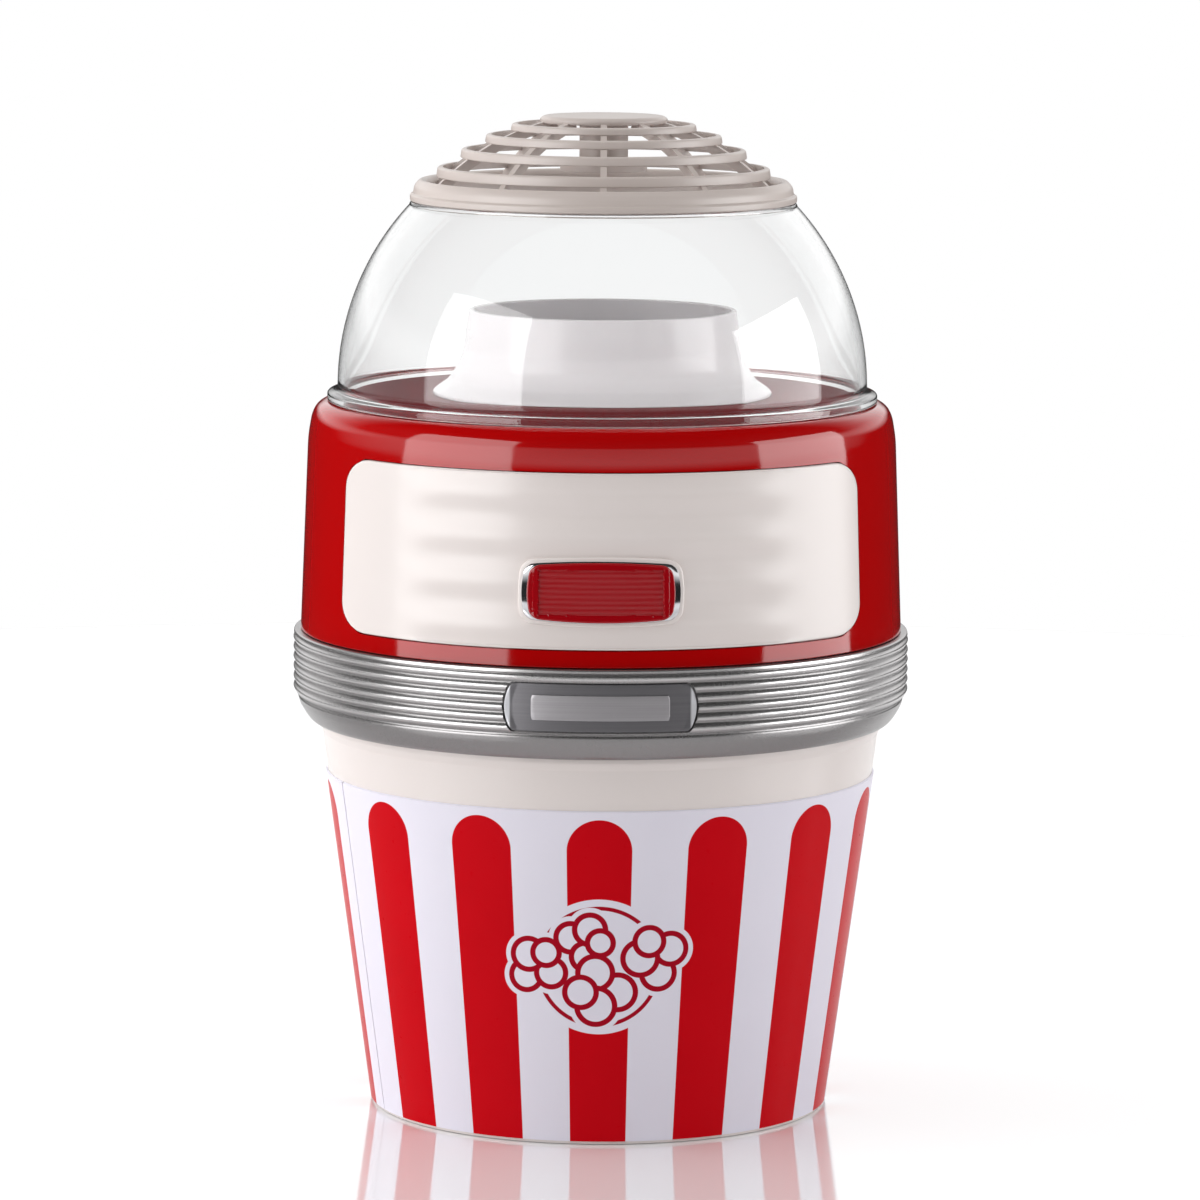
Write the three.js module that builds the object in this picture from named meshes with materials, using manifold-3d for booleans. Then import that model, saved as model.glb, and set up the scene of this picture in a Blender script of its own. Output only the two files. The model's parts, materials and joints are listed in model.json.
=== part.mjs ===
// A hot-air popcorn maker: a tapered tub with the fan, motor and heater, a red upper housing round the
// popping chamber, and a clear dome with a vent grille that lifts off as the lid.
// Millimetres, +Z up, origin on the floor at the centre of the feet, badge facing -Y.
import * as THREE from "three";
import { mergeVertices } from "three/addons/utils/BufferGeometryUtils.js";
import Module from "manifold-3d";

const wasm = await Module();
wasm.setup();

// ---- Driving dimensions ----
const GAP = 0.3; // between neighbouring pieces
const LARGE = 28; // sides of the outer shells
const MEDIUM = 20; // sides of the chamber, duct and fan housing
const OPEN = 20; // sides of the grille's rings, two to each rib
const SMALL = 8; // sides of screws, bushes and holes

const TUB = { bottom: 0.6, radius: 80.2, slope: 0.136, wall: 2.4, step: 133, flange: 150, top: 153 };
const LABEL = { bottom: 1.3, top: 119, film: 0.4, seam: 0.8, seamAngle: -68 };
const BAND = { bottom: 137.4, top: 169, inner: 103.9, crest: 108.5, valley: 107.6, ribs: 6, lip: 147 };
const HOUSING = {
  bottom: TUB.top + GAP,
  shoulder: 169.3,
  bend: 237,
  top: 249.5,
  foot: 105.9,
  neck: 103.3,
  wall: 2.6,
};
const PANEL = { low: 175.4, high: 235, angle: 57.8, corner: 9, pocket: 2.2, waves: 4 };
const BADGE = { width: 54.4, height: 22, z: 195, plateWidth: 49.8, plateHeight: 20 };
const PLATE = { width: 67, height: 16.5, z: 155.9, labelWidth: 47.6, labelHeight: 8.6 };
const DECK = { top: 251.7, rim: 89.8, hole: 46.5, outer: 92.2, seat: 247.4 };
const DOME = { centre: 254.7, radius: 93, wall: 2.2, flange: 96.6, foot: HOUSING.top + GAP, rim: 318.4 };
const GRILLE = {
  centre: 263.4, radius: 87.2, ribs: 10, bottom: 319.7, top: 350, disc: 22.4, hub: 8.5, flange: 15.2,
};
const LIPS = [[58.6, 3.4], [50.2, 3], [41.6, 2.7], [32.6, 2.3]]; // radius and height of the grille's rings
const FUNNEL = { top: 281.6, mouth: 47, skirt: 59.5, spigot: 43, wall: 1.6, bottom: 236 };
const CHAMBER = { inner: 44, wall: 0.9, floor: 172, flange: 54, top: 244.6, slots: 12 };
const DUCT = { inner: 50.2, wall: 0.9, bottom: 118, top: 241 };
const SHROUD = { bottom: 85.7, top: 117.7, inner: 49.9, outer: 52.2, inlet: 30 };
const CHASSIS = { inner: 34, outer: 36.4, bottom: 6.8, top: 85.4 };
const MOTOR = { radius: 18, bottom: 26, top: 80, shaft: 1.6, bush: 4.5 };
const FAN = { radius: 46, hub: 8, bottom: 90, top: 109, blades: 7 };
const BASE = { bottom: 3.5, top: 6.5, radius: 77 };
const FOOT = { ring: 56, radius: 9, height: BASE.bottom - GAP };
const SWITCH = { z: 205, width: 13, height: 19.5, depth: 22, tilt: 8 };
const OUTLET = { z: 18, hole: 3.4, bush: 6 };

const deg = THREE.MathUtils.degToRad;

// ---- Solids and meshes ----
// A closed three.js geometry as a manifold-3d solid.
function solid(geometry) {
  const bare = geometry.index ? geometry.toNonIndexed() : geometry.clone();
  for (const name of Object.keys(bare.attributes)) if (name !== "position") bare.deleteAttribute(name);
  const merged = mergeVertices(bare, 1e-4);
  const source = merged.index.array;
  const kept = [];
  for (let i = 0; i < source.length; i += 3) {
    const [a, b, c] = source.slice(i, i + 3);
    if (a !== b && b !== c && a !== c) kept.push(a, b, c);
  }
  const vertProperties = merged.attributes.position.array;
  return new wasm.Manifold(new wasm.Mesh({ numProp: 3, vertProperties, triVerts: new Uint32Array(kept) }));
}

const join = (...solids) => solids.reduce((all, next) => all.add(next));
const cut = (body, ...tools) => tools.reduce((left, tool) => left.subtract(tool), body);

// A solid turned about Z by an angle in degrees.
const turned = (body, angle) => body.rotate([0, 0, angle]);
const around = (count, make, start = 0) =>
  Array.from({ length: count }, (_, i) => turned(make(i), start + (i * 360) / count));

function mesh(name, body, material) {
  const made = body.getMesh();
  const geometry = new THREE.BufferGeometry();
  geometry.setAttribute("position", new THREE.BufferAttribute(made.vertProperties, 3));
  geometry.setIndex(new THREE.BufferAttribute(made.triVerts, 1));
  geometry.computeVertexNormals();
  const result = new THREE.Mesh(geometry, material);
  result.name = name;
  return result;
}

// A profile of [radius, height] points turned about Z. A profile off the axis is closed on itself.
function lathe(profile, sides = LARGE) {
  const points = profile.map(([r, z]) => new THREE.Vector2(r, z));
  if (THREE.ShapeUtils.area(points) < 0) points.reverse();
  if (points.every((p) => p.x > 0)) points.push(points[0].clone());
  else while (points[0].x > 0 || points.at(-1).x > 0) points.push(points.shift());
  return solid(new THREE.LatheGeometry(points, sides).rotateX(Math.PI / 2));
}

const ring = (inner, outer, low, high, sides = MEDIUM) =>
  lathe([[inner, low], [outer, low], [outer, high], [inner, high]], sides);
const box = (w, d, h, x, y, z) => solid(new THREE.BoxGeometry(w, d, h).translate(x, y, z));
const cylinder = (radius, low, high, sides = SMALL, x = 0, y = 0) =>
  solid(
    new THREE.CylinderGeometry(radius, radius, high - low, sides)
      .rotateX(Math.PI / 2)
      .translate(x, y, (low + high) / 2),
  );
// A cylinder that lies along Y.
const pin = (radius, from, to, x, z, sides = SMALL) =>
  solid(new THREE.CylinderGeometry(radius, radius, to - from, sides).translate(x, (from + to) / 2, z));

// An outline drawn in X and Z and pushed back along Y, from the front to the middle.
function prism(outline, front = -120, back = -20) {
  const options = { depth: back - front, bevelEnabled: false, curveSegments: 5 };
  return solid(new THREE.ExtrudeGeometry(outline, options).rotateX(Math.PI / 2).translate(0, back, 0));
}

function roundedRectangle(width, low, high, corner) {
  const x = width / 2;
  const shape = new THREE.Shape();
  shape.moveTo(-x + corner, low);
  shape.lineTo(x - corner, low);
  shape.quadraticCurveTo(x, low, x, low + corner);
  shape.lineTo(x, high - corner);
  shape.quadraticCurveTo(x, high, x - corner, high);
  shape.lineTo(-x + corner, high);
  shape.quadraticCurveTo(-x, high, -x, high - corner);
  shape.lineTo(-x, low + corner);
  shape.quadraticCurveTo(-x, low, -x + corner, low);
  return shape;
}

// A cushion outline whose ends and long sides bulge outwards.
function cushion(width, height, z, end, side, corner = 0.8) {
  const [x, h] = [width / 2 - end, height / 2 - side];
  const shape = new THREE.Shape();
  shape.moveTo(-x, z - h * corner);
  shape.quadraticCurveTo(-x, z - h, -x * 0.9, z - h);
  shape.quadraticCurveTo(0, z - h - 2 * side, x * 0.9, z - h);
  shape.quadraticCurveTo(x, z - h, x, z - h * corner);
  shape.quadraticCurveTo(x + 2 * end, z, x, z + h * corner);
  shape.quadraticCurveTo(x, z + h, x * 0.9, z + h);
  shape.quadraticCurveTo(0, z + h + 2 * side, -x * 0.9, z + h);
  shape.quadraticCurveTo(-x, z + h, -x, z + h * corner);
  shape.quadraticCurveTo(-x - 2 * end, z, -x, z - h * corner);
  return shape;
}

// A round tube along a smooth line through the points.
function tube(points, radius, steps, sides = 5) {
  const section = new THREE.Shape();
  for (let i = 0; i < sides; i += 1) {
    const angle = (i / sides) * 2 * Math.PI;
    section[i ? "lineTo" : "moveTo"](radius * Math.cos(angle), radius * Math.sin(angle));
  }
  section.closePath();
  const path = new THREE.CatmullRomCurve3(points.map((p) => new THREE.Vector3(...p)));
  return solid(new THREE.ExtrudeGeometry(section, { steps, extrudePath: path, bevelEnabled: false }));
}

// ---- Materials ----
const plastic = (color, roughness = 0.3) => new THREE.MeshStandardMaterial({ color, roughness });
const metal = (color, roughness) => new THREE.MeshStandardMaterial({ color, roughness, metalness: 1 });
const cream = plastic(0xeae4da);
const red = plastic(0xc4060a, 0.15);
const white = plastic(0xf2f0ee, 0.35);
const dark = plastic(0x2b2b2d, 0.6);
const rubber = plastic(0x1d1d1f, 0.9);
const silver = metal(0xa9a9ad, 0.35);
const chrome = metal(0xd8d8da, 0.08);
const aluminium = metal(0xc6c7c9, 0.4);
const steel = metal(0x9c9da0, 0.35);
const copper = metal(0xb87343, 0.4);
const mica = plastic(0xb7a583, 0.7);
const printed = plastic(0xf4f2f5, 0.25);
const board = plastic(0x2f6b3c, 0.6);
const clear = plastic(0xeef2f2, 0.05);
clear.transparent = true;
clear.opacity = 0.3;

// ---- Outer shells ----
const tubRadius = (z) => TUB.radius + TUB.slope * (z - TUB.bottom);
const housingRadius = (z) =>
  HOUSING.foot + ((HOUSING.neck - HOUSING.foot) * (z - HOUSING.shoulder)) / (HOUSING.bend - HOUSING.shoulder);
const LUG = { ring: 93, radius: 4.6, below: 7, above: 14 }; // where the housing screws to the tub
const LEDGE = { inner: 69, low: BASE.top + GAP, high: 10, screwRing: 72.8, boss: 4 };

function tub() {
  const { bottom, wall, step, flange, top } = TUB;
  const shell = lathe([
    [tubRadius(bottom), bottom],
    [tubRadius(step), step],
    [99.4, step + 2.5],
    [99.8, flange],
    [103.4, flange],
    [103.4, top],
    [97, top],
    [97, flange - 3],
    [tubRadius(step) - wall + 0.8, step],
    [tubRadius(LEDGE.high) - wall, LEDGE.high],
    [LEDGE.inner, LEDGE.high],
    [LEDGE.inner, LEDGE.low],
    [tubRadius(LEDGE.low) - wall, LEDGE.low],
    [tubRadius(bottom) - wall + 0.8, bottom],
  ]);
  const bosses = around(4, () => cylinder(LEDGE.boss, LEDGE.low, 20, SMALL, 0, LEDGE.screwRing), 45);
  const holes = around(4, () => cylinder(1.8, 0, 18, SMALL, 0, LEDGE.screwRing), 45);
  const lugs = around(4, () => cylinder(LUG.radius, top - LUG.below, top, SMALL, 0, LUG.ring), 45);
  const lugHoles = around(4, () => cylinder(2, top - 20, top + 1, SMALL, 0, LUG.ring), 45);
  const outlet = pin(OUTLET.bush - 1.5, 70, 95, 0, OUTLET.z);
  return cut(join(shell, ...bosses, ...lugs), ...holes, ...lugHoles, outlet);
}

function tubLabel() {
  const { bottom, top, film, seam, seamAngle } = LABEL;
  const shell = lathe([
    [tubRadius(bottom) + GAP, bottom],
    [tubRadius(bottom) + GAP + film, bottom],
    [tubRadius(top) + GAP + film, top],
    [tubRadius(top) + GAP, top],
  ]);
  const seamGap = turned(box(seam, 30, 140, 0, -90, 60), seamAngle);
  const outlet = pin(OUTLET.bush + 2.6, 60, 110, 0, OUTLET.z);
  return cut(shell, seamGap, outlet);
}

function trimBand() {
  const { bottom, top, inner, crest, valley, ribs, lip } = BAND;
  const pitch = (top - 0.8 - lip) / ribs;
  const outline = [[inner, top], [crest - 1, top]];
  for (let i = 0; i < ribs; i += 1) {
    const high = top - 0.8 - i * pitch;
    outline.push([crest, high], [valley, high - pitch + 0.4]);
  }
  outline.push([106.8, lip - 1], [106.4, lip - 3], [105.2, lip - 5.6], [103.4, lip - 8.4], [102, bottom]);
  outline.push([100.6, bottom], [100.6, bottom + 10], [inner, bottom + 13]);
  const pocket = ring(valley - 1, crest + 3, 140, 175, LARGE);
  const window = prism(cushion(PLATE.width + 2 * GAP, PLATE.height + 2 * GAP, PLATE.z, 2.4, 0.4));
  return cut(lathe(outline), pocket.intersect(window));
}

function nameplate() {
  const band = ring(BAND.valley - 0.7, BAND.valley + 0.1, 145, 172, LARGE);
  return band.intersect(prism(cushion(PLATE.width, PLATE.height, PLATE.z, 2.4, 0.4)));
}

function nameplateSticker() {
  const band = ring(BAND.valley + 0.4, BAND.valley + 0.7, 145, 172, LARGE);
  const { z, labelWidth, labelHeight } = PLATE;
  return band.intersect(prism(roundedRectangle(labelWidth, z - labelHeight / 2, z + labelHeight / 2, 0.8)));
}

// A shell that follows the housing's lean, from one depth below its surface to another.
function housingLayer(inside, outside, low, high) {
  return lathe([
    [housingRadius(low) + inside, low],
    [housingRadius(low) + outside, low],
    [housingRadius(high) + outside, high],
    [housingRadius(high) + inside, high],
  ]);
}

function panelWindow(grow) {
  const width = 2 * (housingRadius(200) * Math.sin(deg(PANEL.angle)) + grow);
  return prism(roundedRectangle(width, PANEL.low - grow, PANEL.high + grow, PANEL.corner + grow));
}

function upperHousing() {
  const { bottom, shoulder, bend, top, foot, neck, wall } = HOUSING;
  const shell = lathe([
    [103.4, bottom],
    [103.4, shoulder],
    [foot, shoulder],
    [neck, bend],
    [neck - 1.4, top - 4.5],
    [neck - 3.3, top - 1.3],
    [neck - 5.9, top],
    [DECK.outer + GAP, top],
    [DECK.outer + GAP, DECK.seat - GAP],
    [86.5, DECK.seat - GAP],
    [86.5, DECK.seat - 2.4],
    [housingRadius(top) - wall - 2.4, DECK.seat - 2.4],
    [housingRadius(top) - wall, DECK.seat - 5],
    [foot - wall, shoulder + 3],
    [101, shoulder - 1],
    [101, bottom],
  ]);
  const pocket = housingLayer(-PANEL.pocket, 4, 165, 245).intersect(panelWindow(GAP));
  const switchHole = box(SWITCH.width + 0.8, 30, SWITCH.height + 0.8, 0, 100, SWITCH.z);
  const lugs = around(4, () => join(
    cylinder(LUG.radius, bottom, bottom + LUG.above, SMALL, 0, LUG.ring),
    box(4, 8, LUG.above - 2, 0, LUG.ring + 6, bottom + LUG.above / 2),
  ), 45);
  const lugHoles = around(4, () => cylinder(1.8, bottom - 1, bottom + 10, SMALL, 0, LUG.ring), 45);
  return cut(join(shell, ...lugs), pocket, switchHole, ...lugHoles);
}

// The panel's face is drawn in soft waves that run round the housing.
function frontPanel() {
  const { low, high, pocket, waves } = PANEL;
  const steps = waves * 4;
  const outline = [[housingRadius(high) - pocket + GAP, high], [housingRadius(low) - pocket + GAP, low]];
  for (let i = 0; i <= steps; i += 1) {
    const z = low + ((high - low) * i) / steps;
    outline.push([housingRadius(z) - 0.1 - 0.4 * Math.cos((i / 4) * 2 * Math.PI), z]);
  }
  return lathe(outline).intersect(panelWindow(0));
}

const badgeFrame = () =>
  housingLayer(0.6, 2, 180, 212).intersect(prism(cushion(BADGE.width, BADGE.height, BADGE.z, 1.4, 1.2)));
const badgePlate = () => {
  const { plateWidth, plateHeight, z } = BADGE;
  return housingLayer(2.3, 3, 180, 212).intersect(prism(cushion(plateWidth, plateHeight, z, 1.2, 1.2)));
};

function popcornDeck() {
  const { top, seat, rim, hole, outer } = DECK;
  return lathe([
    [outer, seat],
    [outer, HOUSING.top],
    [rim, HOUSING.top],
    [rim, top - 0.8],
    [rim - 0.8, top],
    [hole, top],
    [hole, CHAMBER.top + 2.6],
    [hole + 2.5, CHAMBER.top + 2.6],
    [hole + 2.5, top - 2.4],
    [rim - 2.4, top - 2.4],
    [rim - 2.4, seat],
  ]);
}

// ---- Lid ----
// Points on an arc about the dome's centre, from one height to another.
function arcPoints(radius, low, high, steps) {
  const start = Math.asin((low - DOME.centre) / radius);
  const end = Math.asin((high - DOME.centre) / radius);
  return Array.from({ length: steps + 1 }, (_, i) => {
    const angle = start + ((end - start) * i) / steps;
    return [radius * Math.cos(angle), DOME.centre + radius * Math.sin(angle)];
  });
}

function domeShell() {
  const { radius, wall, flange, foot, rim } = DOME;
  const outside = arcPoints(radius, foot + 4.9, rim, 6);
  const inside = arcPoints(radius - wall, foot, rim - 0.6, 6).reverse();
  const bead = [[67.9, rim + 0.2], [67.2, rim + 1], [65.2, rim + 0.9]];
  return lathe([[flange, foot], [flange, foot + 2.8], [94, foot + 3.4], ...outside, ...bead, ...inside]);
}

// One ring of the grille: a thin upright lip.
function grilleLip(radius, height) {
  const low = GRILLE.centre + Math.sqrt(GRILLE.radius ** 2 - radius ** 2);
  return lathe([
    [radius, low],
    [radius - 0.5, low + height],
    [radius - 2.4, low + height + 0.3],
    [radius - 2.2, low + 0.2],
  ], OPEN);
}

// An upright rib that follows the grille from the top disc to the base ring.
function grilleRib() {
  const shape = new THREE.Shape();
  const [upper, lower] = [GRILLE.radius - 0.2, GRILLE.radius - 3.6];
  const [start, end] = [deg(44), deg(78)];
  shape.absarc(0, GRILLE.centre, upper, start, end, false);
  shape.lineTo(lower * Math.cos(end), GRILLE.centre + lower * Math.sin(end));
  shape.absarc(0, GRILLE.centre, lower, end, start, true);
  const thickness = 2.2;
  const options = { depth: thickness, bevelEnabled: false, curveSegments: 3 };
  const plate = new THREE.ExtrudeGeometry(shape, options).translate(0, 0, -thickness / 2);
  return turned(solid(plate.rotateX(Math.PI / 2)), -90);
}

// The rings and ribs join a base ring, which sits in the dome's rim, to a cap with a boss under it.
function ventGrille() {
  const lips = LIPS.map(([radius, height]) => grilleLip(radius, height));
  const { bottom, top, disc, hub, flange } = GRILLE;
  const base = lathe([
    [67.8, bottom],
    [67.8, bottom + 2.1],
    [66.6, bottom + 2.7],
    [66.2, 325.2],
    [64, 327.2],
    [62.2, 326.8],
    [61.4, 325.4],
    [61.4, 317.8],
    [63.2, 317.8],
    [63.2, bottom],
  ], OPEN);
  const cap = lathe([
    [0, top],
    [disc - 3, top],
    [disc, top - 1.2],
    [disc, top - 3],
    [hub, top - 3],
    [hub, 334.4],
    [flange, 333.6],
    [flange, 330.2],
    [0, 330.2],
  ], OPEN);
  return join(base, cap, ...lips, ...around(GRILLE.ribs, grilleRib));
}

function popcornFunnel() {
  const { top, mouth, skirt, spigot, wall, bottom } = FUNNEL;
  const seat = DECK.top + GAP;
  return lathe([
    [mouth - 1.6, top],
    [mouth, top],
    [mouth + 1, 275],
    [mouth + 2.1, 267.5],
    [mouth + 5, 259.4],
    [skirt, seat + 1.2],
    [skirt, seat],
    [skirt - 2.6, seat],
    [mouth + 2.8, 260],
    [mouth + 0.4, 266],
    [spigot, 258],
    [spigot, bottom],
    [spigot - wall, bottom],
    [spigot - wall, 258.8],
    [mouth - 1, 267.5],
  ], LARGE);
}

// ---- Popping chamber and heater ----
function poppingChamber() {
  const { inner, wall, floor, flange, top, slots } = CHAMBER;
  const cup = lathe([
    [0, floor + 3],
    [inner - 8, floor - 4.4],
    [inner, floor],
    [inner, top],
    [flange, top],
    [flange, top - 1],
    [inner + wall, top - 1],
    [inner + wall, floor - 0.4],
    [inner - 7.7, floor - 5.4],
    [0, floor + 2],
  ], MEDIUM);
  const slot = solid(new THREE.BoxGeometry(13, 8, 2.4).rotateY(deg(24)).translate(0, inner, floor + 10));
  return cut(cup, ...around(slots, () => slot));
}

const chamberGasket = () => ring(45.2, 53.2, CHAMBER.top + GAP, CHAMBER.top + 2.3, MEDIUM);

function heatDuct() {
  const { inner, wall, bottom, top } = DUCT;
  return lathe([
    [inner, bottom],
    [56, bottom],
    [56, bottom + 1],
    [inner + wall, bottom + 1],
    [inner + wall, top],
    [inner, top],
  ], MEDIUM);
}

// The heating coil winds three times round the mica cross.
const COIL = { radius: 36, low: 129, pitch: 8, turns: 3, wire: 2.4 };
function coilPoints() {
  const steps = COIL.turns * 8;
  return Array.from({ length: steps + 1 }, (_, i) => {
    const angle = deg(22.5) + (i / 8) * 2 * Math.PI;
    return [COIL.radius * Math.cos(angle), COIL.radius * Math.sin(angle), COIL.low + (COIL.pitch * i) / 8];
  });
}
const heaterCoil = () => tube(coilPoints(), COIL.wire, COIL.turns * 14);
function heaterFrame() {
  const cross = join(box(96, 1, 36, 0, 0, 138.5), box(1, 96, 36, 0, 0, 138.5));
  return cut(cross, tube(coilPoints(), COIL.wire + 0.8, COIL.turns * 14));
}

function thermostat() {
  const disc = solid(new THREE.CylinderGeometry(8, 8, 5, 16).rotateZ(Math.PI / 2).translate(57, 0, 150));
  const terminals = [-4, 4].map((y) => box(6, 1, 3, 62, y, 150));
  return join(disc, ...terminals);
}

const thermalFuse = () => {
  const length = 14;
  const shell = new THREE.CylinderGeometry(2, 2, length, 10).rotateZ(Math.PI / 2);
  return solid(shell.translate(20, 4.5, 152));
};

// ---- Fan and motor ----
function fanShroud() {
  const { bottom, top, inner, outer, inlet } = SHROUD;
  return lathe([
    [inlet, bottom],
    [outer, bottom],
    [outer, top - 2.5],
    [57, top - 2.5],
    [57, top],
    [inner, top],
    [inner, bottom + 2.3],
    [inlet, bottom + 2.3],
  ], MEDIUM);
}

function innerChassis() {
  const { inner, outer, bottom, top } = CHASSIS;
  const pipe = lathe([
    [inner, bottom],
    [44, bottom],
    [44, bottom + 2.4],
    [outer, bottom + 2.4],
    [outer, top],
    [inner, top],
  ], MEDIUM);
  const window = box(18, 20, 22, 0, 35, 0);
  const windows = [24, 52].flatMap((z) => around(4, () => window.translate([0, 0, z])));
  return cut(pipe, ...windows);
}

function motorMount() {
  const rim = ring(30.6, 33.6, 77, 83.3, MEDIUM);
  const hub = ring(5, 20, MOTOR.top + GAP, 83.3, MEDIUM);
  const arms = around(3, () => box(8, 13, 3, 0, 25.5, 81.8));
  const holes = [-1, 1].map((side) => cylinder(1.7, 70, 90, SMALL, side * 11));
  return cut(join(rim, hub, ...arms), ...holes);
}

function motorCan() {
  const { radius, bottom, top, bush } = MOTOR;
  const can = lathe([
    [bush + GAP, top],
    [radius, top],
    [radius, bottom],
    [radius - 1.2, bottom],
    [radius - 1.2, top - 1.4],
    [bush + GAP, top - 1.4],
  ], 24);
  return cut(can, ...[-1, 1].map((side) => cylinder(1.7, 70, 90, SMALL, side * 11)));
}

function motorEndCap() {
  const { radius, bottom, bush } = MOTOR;
  return lathe([
    [bush + GAP, bottom - GAP],
    [radius, bottom - GAP],
    [radius, bottom - 3.3],
    [bush + GAP, bottom - 3.3],
  ], 24);
}

const motorBush = (middle) => ring(MOTOR.shaft + GAP, MOTOR.bush, middle - 2.6, middle + 2.6, SMALL);
const motorShaft = () => cylinder(MOTOR.shaft, 20.4, 107, SMALL);
function motorMagnet(side) {
  const shell = ring(12.6, 16.4, 36, 68, 24);
  return shell.intersect(box(20, 24, 60, side * 14, 0, 52));
}

function motorArmature() {
  const core = ring(MOTOR.shaft + GAP, 11.4, 40, 64, 24);
  const slots = around(5, () => box(2.4, 6, 40, 0, 11, 52));
  const commutator = ring(MOTOR.shaft + GAP, 5, 30, 40.5, SMALL);
  return join(cut(core, ...slots), commutator);
}

function fanImpeller() {
  const { radius, hub, bottom, top, blades } = FAN;
  const boss = ring(MOTOR.shaft + GAP, hub, bottom + 1, top - 1, 20);
  const length = radius - hub + 1.5;
  const blade = solid(
    new THREE.BoxGeometry(length, 1.6, 19)
      .rotateX(deg(38))
      .translate(hub - 1.5 + length / 2, 0, (bottom + top) / 2),
  );
  return join(boss, ...around(blades, () => blade));
}

function rectifierBoard() {
  const plate = ring(3.2, 16, 14.4, 16, 24);
  const diodes = around(4, () => box(4, 8, 3.2, 0, 9.6, 12.9), 45);
  return join(plate, ...diodes);
}

// A pan-head screw standing on its thread's axis, head at the bottom.
const screw = (head, thread, seat, tip, x = 0, y = 0) =>
  join(
    cylinder(head, seat - 1.6, seat, SMALL, x, y),
    cylinder(thread, seat - 0.4, tip, 6, x, y),
  );

// ---- Base ----
function basePlate() {
  const { bottom, top, radius } = BASE;
  const plate = cylinder(radius, bottom, top, LARGE);
  const screwHoles = around(4, () => cylinder(1.9, 0, 10, SMALL, 0, LEDGE.screwRing), 45);
  const stemHoles = around(4, () => cylinder(3.2, 0, 10, SMALL, 0, FOOT.ring), 45);
  const slots = around(8, () => box(3.6, 20, 10, 0, 20, bottom), 22.5);
  return cut(plate, ...screwHoles, ...stemHoles, ...slots);
}

function rubberFoot(angle) {
  const pad = cylinder(FOOT.radius, 0, FOOT.height, 16, 0, FOOT.ring);
  const stem = cylinder(2.9, FOOT.height - 0.5, BASE.top + 2, SMALL, 0, FOOT.ring);
  return turned(join(pad, stem), angle);
}

function cordGrommet() {
  const wall = tubRadius(OUTLET.z);
  const flange = pin(OUTLET.bush + 1, wall + 1.4, wall + 3.8, 0, OUTLET.z, 12);
  const neck = pin(OUTLET.bush - 1.8, wall - 6, wall + 2, 0, OUTLET.z);
  const lip = pin(OUTLET.bush, wall - 7.5, wall - 4.5, 0, OUTLET.z);
  return cut(join(flange, neck, lip), pin(OUTLET.hole, wall - 12, wall + 12, 0, OUTLET.z));
}

const terminalBlock = () =>
  cut(box(26, 10, 12, 0, 56, 13), ...[-8, 0, 8].map((x) => cylinder(1.6, 14, 25, 8, x, 56)));

// ---- Power switch at the back of the housing ----
function switchBody() {
  const { z, width, height, depth } = SWITCH;
  const face = housingRadius(z) + GAP + 0.2;
  const bezel = box(width + 3, 1.6, height + 3, 0, face + 0.8, z);
  const can = box(width, depth, height, 0, face - depth / 2 + 0.5, z);
  const well = box(width - 3, 10, height - 3, 0, face - 1.5, z);
  const tabs = [-5, 0, 5].map((dz) => box(5, 7, 0.9, 0, face - depth - 2.6, z + dz));
  return join(cut(join(bezel, can), well), ...tabs);
}

function switchRocker() {
  const { z, width, height, tilt } = SWITCH;
  const pivot = housingRadius(z) - 0.4;
  const half = height / 2 - 2.6;
  const shape = new THREE.Shape();
  shape.moveTo(-half, 0);
  shape.lineTo(-half * 0.4, -3.2);
  shape.lineTo(half * 0.4, -3.2);
  shape.lineTo(half, 0);
  shape.lineTo(half, 2);
  shape.lineTo(0, 0.9);
  shape.lineTo(-half, 2);
  const w = width - 4;
  const wedge = new THREE.ExtrudeGeometry(shape, { depth: w, bevelEnabled: false });
  // The outline's first axis becomes +Z and its second +Y, and the wedge is centred on X.
  const basis = new THREE.Matrix4().makeBasis(
    new THREE.Vector3(0, 0, 1),
    new THREE.Vector3(0, 1, 0),
    new THREE.Vector3(-1, 0, 0),
  );
  wedge.applyMatrix4(basis).translate(w / 2, 0, 0).rotateX(deg(-tilt)).translate(0, pivot, z);
  return solid(wedge);
}

// ---- Wiring inside the shells ----
const WIRES = {
  wire_inlet_to_terminal: [[0, 70, 18], [4, 66, 24], [9, 58, 26], [8.5, 56, 21]],
  wire_terminal_to_switch: [[0, 56, 21], [-6, 66, 40], [-10, 72, 110], [-4, 76, 180], [0, 75.6, 200]],
  wire_switch_to_thermostat: [[0, 75.6, 210], [30, 66, 200], [56, 38, 175], [67, 6, 152]],
  wire_terminal_to_motor: [[-8, 50, 21], [-5, 42, 30], [-3, 30, 24], [-6, 16, 17.6]],
};
const wire = (name) => tube(WIRES[name], 1.1, 10);

// ---- Assembly ----
const machine = new THREE.Group();
machine.name = "popcorn_maker";
const add = (name, body, material) => machine.add(mesh(name, body, material));

add("tub", tub(), cream);
add("tub_label", tubLabel(), printed);
add("trim_band", trimBand(), silver);
add("nameplate", nameplate(), silver);
add("nameplate_sticker", nameplateSticker(), aluminium);
add("upper_housing", upperHousing(), red);
add("front_panel", frontPanel(), cream);
add("badge_frame", badgeFrame(), chrome);
add("badge_plate", badgePlate(), red);
add("popcorn_deck", popcornDeck(), red);
add("dome_shell", domeShell(), clear);
add("vent_grille", ventGrille(), cream);
add("popcorn_funnel", popcornFunnel(), white);

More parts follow.
